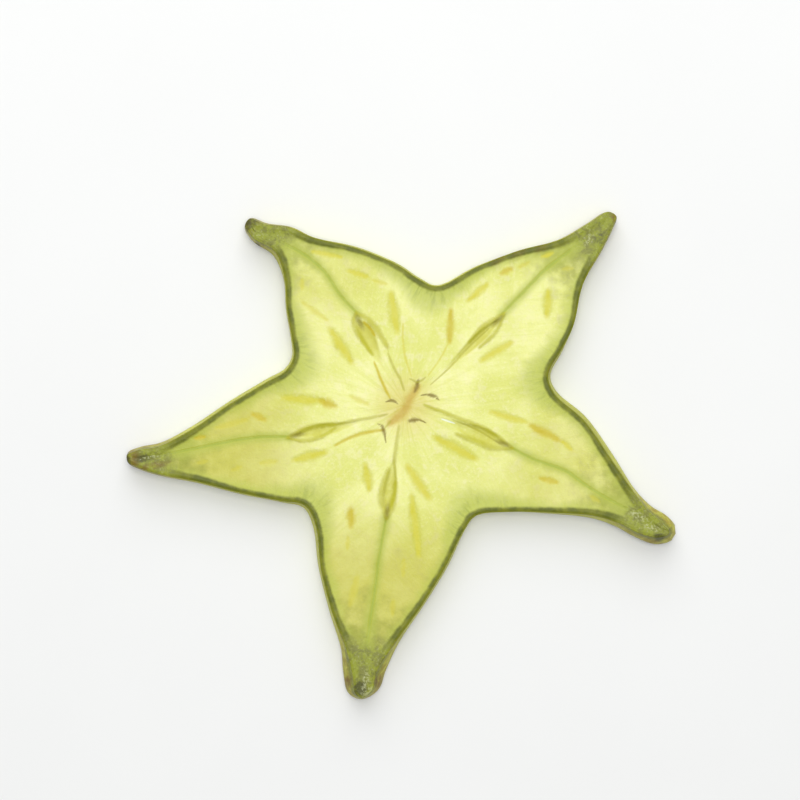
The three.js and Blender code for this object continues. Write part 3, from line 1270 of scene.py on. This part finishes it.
@dataclass(frozen=True)
class PeelFinish:
    """Waxy yellow-green peel, olive along its cut edge, with small specks and scars."""

    skin: Colour = srgb(182, 184, 40)
    light: Colour = srgb(204, 206, 68)
    olive: Colour = srgb(118, 122, 20)
    scar: Colour = srgb(132, 88, 40)
    speck: Colour = srgb(112, 104, 40)
    tip: Colour = srgb(156, 136, 30)
    tips: TipPaint = TipPaint()
    cloud_size: float = 5 * MM
    mottle_size: float = 0.9 * MM
    speck_gap: float = 0.9 * MM
    scar_size: float = 6 * MM
    scar_twist: float = 0.8
    scar_strength: float = 0.7
    tip_strength: float = 0.8
    least_rough: float = 0.32
    more_rough: float = 0.22
    feel: Feel = Feel(ior=1.45, specular=0.15, scatter=0.2, scatter_spread=(1.0, 0.9, 0.3),
                      scatter_depth=0.8 * MM, coat=0.03, coat_roughness=0.25, coat_ior=1.5,
                      bump_height=0.10 * MM, bump_share=0.5)

    def make(self) -> bpy.types.Material:
        """Builds the peel material.

        Returns:
            The material.
        """
        bench = NodeBench("peel")
        place = bench.place()
        height = bench.attribute("peel_height")
        tip = bench.attribute("tip")
        clouds = bench.noise(place, self.cloud_size)
        mottle = bench.noise(place, self.mottle_size, 4.0)
        colour = bench.wash(self.skin, self.light, clouds, 0.35, 0.65)
        colour = bench.wash(colour, self.olive, mottle, 0.52, 0.75, 0.35)
        edge = bench.times(bench.step(height, 0.84, 1.0, 0.85), bench.step(tip, 1.0, 0.3))
        colour = bench.mix(edge, colour, self.olive)
        specks = bench.cells(place, self.speck_gap)
        colour = bench.wash(colour, self.speck, specks, 0.16, 0.06, 0.5)
        streaks = bench.noise(place, self.scar_size, 4.0, 0.7, self.scar_twist)
        scars = bench.times(bench.step(streaks, 0.60, 0.70), bench.step(mottle, 0.4, 0.6),
                            self.scar_strength)
        colour = bench.mix(scars, colour, self.scar)
        rusty = bench.times(tip, bench.step(mottle, 0.30, 0.62), self.tip_strength)
        colour = bench.mix(rusty, colour, self.tip)
        upper = bench.times(tip, bench.step(height, 0.45, 1.0))
        colour = self.tips.lay(bench, colour, place, upper)
        rough = bench.plus(self.least_rough, bench.times(mottle, self.more_rough))
        relief = bench.plus(mottle, bench.times(clouds, 0.8))
        return bench.finished(colour, rough, relief, self.feel)


# ------------------------------------------------------------------ the slice


class Region(Enum):
    """Where a point of the skin lies; the value is kept in the mesh while it is shaped."""

    UPPER = 0.0
    PEEL = 1.0
    LOWER = 2.0


class Kept(Enum):
    """A kind of field kept on the mesh's points: (its type, what its data is called)."""

    NUMBER = ("FLOAT", "value")
    VECTOR = ("FLOAT_VECTOR", "vector")
    COLOUR = ("FLOAT_COLOR", "color")

    def keep(self, mesh: bpy.types.Mesh, name: str, values: np.ndarray) -> None:
        """Stores a field.

        Args:
            mesh: The mesh.
            name: The field's name, which a finish reads it by.
            values: Its values, one row for each point.
        """
        kind, data_name = self.value
        field_data = mesh.attributes.new(name, kind, "POINT").data
        field_data.foreach_set(data_name, values.astype(np.float32).ravel())


@dataclass
class StarFruitSlice:
    """The whole slice as one skin.

    Each half rib is one grid: its rows run from the midrib over the upper face, down the peel and
    back along the lower face. Ten grids, merged where they meet, make the closed star.
    """

    solid: PackedSlice
    rows: int = 116
    face_columns: int = 34
    lower_columns: int = 15
    wall_columns: int = 7
    edge_columns: int = 3
    rim_band: float = 1.5 * MM
    rim_columns: int = 9
    spine_lead: float = 0.3
    curl_start: float = 0.5
    upper_edge: float = 0.12 * MM
    lower_swell: float = 0.18 * MM
    lower_edge: float = 0.4 * MM
    wall_bow: float = 1.4
    face_spread: float = 1.15
    lower_spread: float = 1.5
    rim_band_share: float = 0.5
    fibre_run: float = 10 * MM
    merge_gap: float = 2e-6
    face_fade: Span = (0.0, 0.5 * MM)
    face_sink: float = 0.06 * MM
    face_sink_fade: Span = (0.7 * MM, 1.4 * MM)
    lip_height: float = 0.06 * MM
    lip_place: float = 0.42 * MM
    lip_width: float = 0.24 * MM
    lip_fade: Span = (0.1 * MM, 0.3 * MM)
    chamber_depth: float = 0.28 * MM
    chamber_swell: float = 1.5
    chamber_side_fade: Span = (1.35, 0.75)
    chamber_end_fade: Span = (-0.1, 0.6)
    valley_reach: float = 5.0 * MM
    midrib_width: float = 0.5 * MM
    green_before: float = 0.16
    green_after: float = 0.24
    ripe_fade: Span = (0.2, 0.62)
    tip_blend: float = 0.10
    spot_fade: Span = (1.5, 0.4)
    halo_width: float = 0.9 * MM
    halo_spread: Span = (0.6, 1.0)
    apex_length: float = 1.5 * MM
    apex_width: float = 0.5 * MM
    apex_lean: float = 0.4
    strand_clearance: float = 0.75 * MM
    strand_margin: float = 1.5
    strand_hold: float = 0.45
    strand_taper: float = 0.35
    strand_relief: Span = (1.3, 0.5)
    wall_rise: float = 0.07 * MM
    vein_sink: float = 0.05 * MM
    flesh: FleshFinish = field(default_factory=FleshFinish)
    peel: PeelFinish = field(default_factory=PeelFinish)

    def build(self) -> bpy.types.Object:
        """Makes the piece.

        Returns:
            The finished object.
        """
        bench = bmesh.new()
        region = bench.verts.layers.float.new("region")
        height = bench.verts.layers.float.new("peel_height")
        fibre = bench.verts.layers.float_vector.new("fibre")
        valley = bench.verts.layers.float.new("valley")
        for rib in self.solid.ribs:
            for start in (rib.valley_before, rib.valley_after):
                self._half_rib(bench, rib, start, (region, height, fibre, valley))
        bmesh.ops.remove_doubles(bench, verts=bench.verts, dist=self.merge_gap)
        bmesh.ops.recalc_face_normals(bench, faces=bench.faces)
        for face in bench.faces:
            face.smooth = True
            on_peel = sum(vert[region] == Region.PEEL.value for vert in face.verts)
            face.material_index = 1 if on_peel > 1 else 0
        mesh = bpy.data.meshes.new("star_fruit")
        bench.to_mesh(mesh)
        bench.free()
        piece = bpy.data.objects.new("star_fruit", mesh)
        bpy.context.scene.collection.objects.link(piece)
        self._shape(mesh)
        mesh.materials.append(self.flesh.make())
        mesh.materials.append(self.peel.make())
        return piece

    def _half_rib(self, bench: bmesh.types.BMesh, rib: Rib, start: float,
                  layers: tuple[object, ...]) -> None:
        """Adds the grid of one half rib.

        Args:
            bench: The mesh being made.
            rib: The rib.
            start: Where on the upper rim the half's valley is.
            layers: The mesh's region, peel height, fibre and valley layers.
        """
        rim = self.solid.upper
        share = np.linspace(0.0, 1.0, self.rows + 1)
        gap = (rib.tip - start + rim.length / 2) % rim.length - rim.length / 2
        walked = start + share * gap
        upper = rim.at(walked)[:, :2]
        spine_line = rib.spine()
        lead = share + self.spine_lead * share * (1.0 - share)
        spine = spine_line.at(lead * spine_line.length)
        lower, outward = self.solid.below(walked)
        widest = lower + outward * self.lower_swell
        columns = self._section(spine, upper, widest, lower)
        count = len(columns) - 1
        made = bmesh.ops.create_grid(bench, x_segments=self.rows, y_segments=count, size=0.5)
        region, height, fibre, valley = layers
        near_valley = np.exp(-((share * abs(gap) / self.valley_reach) ** 2))
        places = np.stack([column[0] for column in columns], axis=1)
        for vert in made["verts"]:
            row = round((vert.co.x + 0.5) * self.rows)
            step = round((vert.co.y + 0.5) * count)
            _, kind, peel_height, across = columns[step]
            vert.co = places[row, step]
            vert[region] = kind.value
            vert[height] = peel_height
            vert[fibre] = (*upper[row], across * self.fibre_run)
            vert[valley] = near_valley[row]

    def _section(self, spine: np.ndarray, upper: np.ndarray, widest: np.ndarray,
                 lower: np.ndarray) -> list[tuple[np.ndarray, Region, float, float]]:
        """Lays out the columns of a half rib, from the upper midrib round to the lower one.

        Args:
            spine: The midrib's points in plan, one for each row.
            upper: The upper rim's points.
            widest: The peel's widest points.
            lower: The lower rim's points.

        Returns:
            One entry for each column: its points, its region, its height on the peel from 0 to 1,
            and its place across the face from 0 at the midrib to 1 at the rim.
        """
        thick = self.solid.thickness
        columns: list[tuple[np.ndarray, Region, float, float]] = []

        def add(plan: np.ndarray, level: float, kind: Region, peel: float, across: float) -> None:
            """Appends one column, lifted by the curl of the slice."""
            lift = self.solid.curl(plan, self.curl_start)
            columns.append((np.column_stack([plan, level + lift]), kind, peel, across))

        reach = np.linalg.norm(upper - spine, axis=1, keepdims=True)
        inward = (spine - upper) / np.maximum(reach, 1e-9)
        band = np.minimum(self.rim_band, self.rim_band_share * reach)
        shoulder = upper + inward * band
        for step in range(self.face_columns + 1):
            across = (step / self.face_columns) ** self.face_spread
            add(spine + (shoulder - spine) * across, thick, Region.UPPER, 1.0, across)
        for step in range(1, self.rim_columns + 1):
            share = step / self.rim_columns
            gap = band + (self.upper_edge - band) * share
            add(upper + inward * gap, thick, Region.UPPER, 1.0, 1.0)
        for step in range(1, self.edge_columns + 1):
            angle = 0.5 * math.pi * step / self.edge_columns
            add(upper + inward * self.upper_edge * (1 - math.sin(angle)),
                thick - self.upper_edge * (1 - math.cos(angle)), Region.PEEL, 1.0, 1.0)
        for step in range(1, self.wall_columns + 1):
            up = 1 - step / self.wall_columns
            level = self.lower_edge + up * (thick - self.upper_edge - self.lower_edge)
            add(widest + (upper - widest) * up**self.wall_bow, level, Region.PEEL, up, 1.0)
        for step in range(1, self.edge_columns + 1):
            angle = 0.5 * math.pi * step / self.edge_columns
            kind = Region.PEEL if step < self.edge_columns else Region.LOWER
            add(widest + (lower - widest) * (1 - math.cos(angle)),
                self.lower_edge * (1 - math.sin(angle)), kind, 0.0, 1.0)
        for step in range(1, self.lower_columns + 1):
            across = 1 - step / self.lower_columns
            eased_across = 1 - (1 - across) ** self.lower_spread
            add(spine + (lower - spine) * eased_across, 0.0, Region.LOWER, 0.0, eased_across)
        return columns

    def _shape(self, mesh: bpy.types.Mesh) -> None:
        """Works out the fields over both faces, sculpts the relief and stores what paints it.

        Args:
            mesh: The closed skin, before its relief.
        """
        count = len(mesh.vertices)
        places = np.empty(count * 3)
        mesh.vertices.foreach_get("co", places)
        places = places.reshape(-1, 3)
        region = np.empty(count)
        mesh.attributes["region"].data.foreach_get("value", region)
        plan = places[:, :2]
        on_upper = region == Region.UPPER.value
        on_lower = region == Region.LOWER.value

        rim_gap = np.zeros(count)
        foot = np.zeros((count, 3))
        for here, line in ((on_upper, self.solid.upper), (on_lower, self.solid.lower)):
            index, gap = NearestOn(line.points).find(plan[here])
            rim_gap[here] = gap
            foot[here, :2] = line.points[index][:, :2]
            foot[here, 2] = gap

        inside, hollow = self._chamber_fields(plan)
        fields = {"rim_gap": rim_gap, "chamber": inside, **self._rib_fields(plan),
                  **self._spot_fields(plan)}
        solid_flesh = 1 - fields["tip"]
        sunk = np.zeros(count)
        for layer in Layer:
            values = self._strand_field(plan, self._laid(layer))
            values[:, 2] *= solid_flesh
            Kept.COLOUR.keep(mesh, layer.value, values)
            gap = np.hypot(values[:, 0], values[:, 1])
            shown = values[:, 2] * eased(*self.strand_relief, gap)
            raised = layer in (Layer.LEFT_WALL, Layer.RIGHT_WALL)
            sunk += shown * (-self.wall_rise if raised else self.vein_sink)

        face = eased(*self.face_fade, rim_gap)
        lip = np.exp(-(((rim_gap - self.lip_place) / self.lip_width) ** 2))
        relief = (self.lip_height * lip * eased(*self.lip_fade, rim_gap)
                  - self.face_sink * eased(*self.face_sink_fade, rim_gap)
                  - sunk - self.chamber_depth * hollow)
        places[on_upper, 2] += (relief * face)[on_upper]
        places[on_lower, 2] -= (np.minimum(relief, 0.0) * face)[on_lower]
        mesh.vertices.foreach_set("co", places.ravel())

        for name, values in fields.items():
            Kept.NUMBER.keep(mesh, name, values)
        Kept.VECTOR.keep(mesh, "rim_foot", foot)
        mesh.update()

    def _laid(self, layer: Layer) -> list[tuple[np.ndarray, float, Tone]]:
        """Gathers the strands of one layer.

        Args:
            layer: The layer.

        Returns:
            Its strands as (points in plan, half width, tone).
        """
        if layer is Layer.MIDRIB:
            return [(np.array([rib.place(point) for point in rib.plan.midrib]),
                     0.5 * self.midrib_width, Tone.GREEN) for rib in self.solid.ribs]
        laid = [(np.array([rib.place(point) for point in strand.points]), 0.5 * strand.width,
                 strand.tone)
                for rib in self.solid.ribs for strand in rib.plan.strands
                if strand.layer is layer]
        laid += [(np.array(strand.points) * CORE_UNIT, 0.5 * strand.width, strand.tone)
                 for strand in CORE_STRANDS if strand.layer is layer]
        return laid

    def _strand_field(self, plan: np.ndarray,
                      laid: list[tuple[np.ndarray, float, Tone]]) -> np.ndarray:
        """Measures each place against the nearest strand of one layer.

        Args:
            plan: The places, one row each.
            laid: The layer's strands as (points in plan, half width, tone).

        Returns:
            One row for each place: how far to the strand's left and how far beyond its ends the
            place is, both in half widths, the strand's strength and its colour's place.
        """
        values = np.zeros((len(plan), 4))
        nearest = np.full(len(plan), np.inf)
        for points, half, tone in laid:
            line = SmoothLine(points, closed=False).points
            tangent = np.gradient(line, axis=0)
            tangent /= np.linalg.norm(tangent, axis=1, keepdims=True)
            reach = self.strand_clearance + self.strand_margin * half
            here = np.flatnonzero(np.all((plan > line.min(axis=0) - reach)
                                         & (plan < line.max(axis=0) + reach), axis=1))
            away = plan[here, None, :] - line[None]
            gaps = np.linalg.norm(away, axis=2)
            index = gaps.argmin(axis=1)
            gap = gaps[np.arange(len(here)), index]
            away = away[np.arange(len(here)), index]
            ahead = np.sum(away * tangent[index], axis=1)
            aside = away[:, 1] * tangent[index, 0] - away[:, 0] * tangent[index, 1]
            beyond = np.where(index == 0, -ahead, np.where(index == len(line) - 1, ahead, 0.0))
            strength, hue = tone.value
            strength = strength * eased(reach, self.strand_hold * reach, gap)
            off_middle = 2 * index / (len(line) - 1) - 1
            aside = aside / (1 - self.strand_taper * off_middle**2)
            closer = gap - half < nearest[here]
            nearest[here[closer]] = (gap - half)[closer]
            rows = np.column_stack([aside / half, np.maximum(beyond, 0.0) / half, strength,
                                    np.full(len(here), hue)])
            values[here[closer]] = rows[closer]
        return values

    def _rib_fields(self, plan: np.ndarray) -> dict[str, np.ndarray]:
        """Works out the fields that follow the ribs.

        Args:
            plan: The places, one row each.

        Returns:
            How green and how ripe each place is, and how close to a tip, a midrib or the outer end
            of a chamber.
        """
        fields = {name: np.zeros(len(plan)) for name in ("green", "ripe", "tip", "halo", "apex")}
        for rib in self.solid.ribs:
            along = rib.local(plan)[0] / 100
            start = rib.plan.green_start
            midrib = np.array([rib.place(point) for point in rib.plan.midrib])
            _, gap = NearestOn(SmoothLine(midrib, closed=False).points).find(plan)
            spread = self.halo_width * (1 + eased(*self.halo_spread, along))
            inward = rib.chamber.inner - rib.chamber.outer
            inward /= np.linalg.norm(inward)
            inside = (plan - rib.chamber.outer) @ inward / self.apex_length
            aside = (plan - rib.chamber.outer) @ np.array([-inward[1], inward[0]])
            apex_gap = np.hypot(inside - self.apex_lean, aside / self.apex_width)
            tip_start = rib.plan.tip_start
            shares = {
                "green": eased(start - self.green_before, start + self.green_after, along),
                "ripe": rib.plan.ripeness * eased(*self.ripe_fade, along),
                "tip": eased(tip_start - self.tip_blend, tip_start + self.tip_blend, along),
                "halo": np.exp(-((gap / spread) ** 2)),
                "apex": np.exp(-(apex_gap**2)),
            }
            for name, share in shares.items():
                fields[name] = np.maximum(fields[name], share)
        return fields

    def _spot_fields(self, plan: np.ndarray) -> dict[str, np.ndarray]:
        """Works out the fields of the tips' spots.

        Args:
            plan: The places, one row each.

        Returns:
            How strongly each kind of spot shows at each place.
        """
        fields = {kind.value: np.zeros(len(plan)) for kind in SpotKind}
        for rib in self.solid.ribs:
            along, left = rib.local(plan)
            for spot in rib.plan.spots:
                gap = np.hypot((along - spot.middle[0]) / (0.5 * spot.length),
                               (left - spot.middle[1]) / (0.5 * spot.width))
                shown = spot.strength * eased(*self.spot_fade, gap)
                fields[spot.kind.value] = np.maximum(fields[spot.kind.value], shown)
        return fields

    def _chamber_fields(self, plan: np.ndarray) -> tuple[np.ndarray, np.ndarray]:
        """Works out the fields of the seed chambers.

        Args:
            plan: The places, one row each.

        Returns:
            How far each place is inside a chamber, and how deep the chamber is there.
        """
        inside = np.zeros(len(plan))
        hollow = np.zeros(len(plan))
        for rib in self.solid.ribs:
            chamber = rib.chamber
            axis = chamber.outer - chamber.inner
            length = np.linalg.norm(axis)
            axis = axis / length
            share = (plan - chamber.inner) @ axis / length
            aside = np.abs((plan - chamber.inner) @ np.array([-axis[1], axis[0]]))
            held = np.clip(share, 0.0, 1.0)
            bow = np.maximum(np.sin(math.pi * held**self.chamber_swell), 0.0)
            half = np.maximum(0.5 * chamber.width * bow, self.merge_gap / 2)
            shown = (eased(*self.chamber_side_fade, aside / half)
                     * eased(*self.chamber_end_fade, share))
            inside = np.maximum(inside, np.where(share < 1.0, shown, 0.0))
            round_part = np.sqrt(np.clip(1 - (aside / half) ** 2, 0.0, 1.0))
            hollow = np.maximum(hollow, bow * round_part)
        return inside, hollow


# ------------------------------------------------------------------ camera, light and floor


@dataclass(frozen=True)
class Lamp:
    """A square lamp; its side is in metres and its power in watts."""

    name: str
    place: tuple[float, float, float]
    side: float
    power: float


@dataclass(frozen=True)
class Studio:
    """A plain white table under soft light, seen from straight above."""

    view_width: float = 108 * MM
    view_centre: Point = (-0.675 * MM, 0.675 * MM)
    lens: float = 100.0
    sensor: float = 36.0
    focus_height: float = 3 * MM
    floor_side: float = 3.0
    floor_drop: float = 0.02 * MM
    floor_patch: float = 30 * MM
    floor_shade: Colour = srgb(231, 232, 231)
    floor_light: Colour = srgb(235, 236, 235)
    floor_roughness: float = 0.6
    near_clip: float = 0.01
    sky_strength: float = 0.32
    lamps: tuple[Lamp, ...] = (
        Lamp("window", place=(-0.04, 0.45, 0.45), side=0.6, power=2.4),
        Lamp("ceiling", place=(0.02, 0.05, 1.0), side=0.5, power=5.2),
    )

    def camera(self) -> None:
        """Adds the camera and makes it the scene's own."""
        data = bpy.data.cameras.new("camera")
        data.lens = self.lens
        data.sensor_width = self.sensor
        data.clip_start = self.near_clip
        camera = bpy.data.objects.new("camera", data)
        distance = self.view_width * self.lens / self.sensor
        camera.location = (*self.view_centre, self.focus_height + distance)
        bpy.context.scene.collection.objects.link(camera)
        bpy.context.scene.camera = camera

    def lights(self) -> None:
        """Adds the lamps, turned to the slice, and the pale surroundings."""
        for lamp in self.lamps:
            data = bpy.data.lights.new(lamp.name, "AREA")
            data.shape = "SQUARE"
            data.size = lamp.side
            data.energy = lamp.power
            placed = bpy.data.objects.new(lamp.name, data)
            placed.location = lamp.place
            placed.rotation_euler = (-Vector(lamp.place)).to_track_quat("-Z", "Y").to_euler()
            bpy.context.scene.collection.objects.link(placed)
        world = bpy.data.worlds.new("surroundings")
        world.use_nodes = True
        background = world.node_tree.nodes["Background"]
        background.inputs["Color"].default_value = srgb(255, 255, 255)
        background.inputs["Strength"].default_value = self.sky_strength
        bpy.context.scene.world = world
        bpy.context.scene.view_settings.view_transform = "Standard"

    def floor(self) -> None:
        """Adds the table top."""
        bench = bmesh.new()
        bmesh.ops.create_grid(bench, x_segments=2, y_segments=2, size=self.floor_side / 2)
        bmesh.ops.translate(bench, verts=bench.verts, vec=(0.0, 0.0, -self.floor_drop))
        mesh = bpy.data.meshes.new("table")
        bench.to_mesh(mesh)
        bench.free()
        floor = bpy.data.objects.new("table", mesh)
        bpy.context.scene.collection.objects.link(floor)
        nodes = NodeBench("table_white")
        paper = nodes.noise(nodes.place(), self.floor_patch, rough=0.5)
        tint = nodes.mix(paper, self.floor_shade, self.floor_light)
        nodes.feed(nodes.shader.inputs["Base Color"], tint)
        nodes.shader.inputs["Roughness"].default_value = self.floor_roughness
        mesh.materials.append(nodes.material)


def main() -> None:
    """Builds the slice and its studio in order, and reports each piece."""
    logging.basicConfig(level=logging.INFO, format="%(name)s: %(message)s")
    studio = Studio()
    studio.camera()
    studio.lights()
    studio.floor()
    solid = PackedSlice(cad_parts[NODE_NAME])
    for rib in solid.ribs:
        LOG.info("%s: reach %.1f mm, tip lift %.2f mm, chamber %.1f mm wide", rib.plan.name,
                 rib.reach / MM, rib.lift / MM, rib.chamber.width / MM)
    piece = StarFruitSlice(solid).build()
    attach(piece, BODY_NAME)
    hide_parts(NODE_NAME)
    triangles = sum(len(face.vertices) - 2 for face in piece.data.polygons)
    LOG.info("%s: %d triangles", piece.name, triangles)


if __name__ == "__main__":
    main()
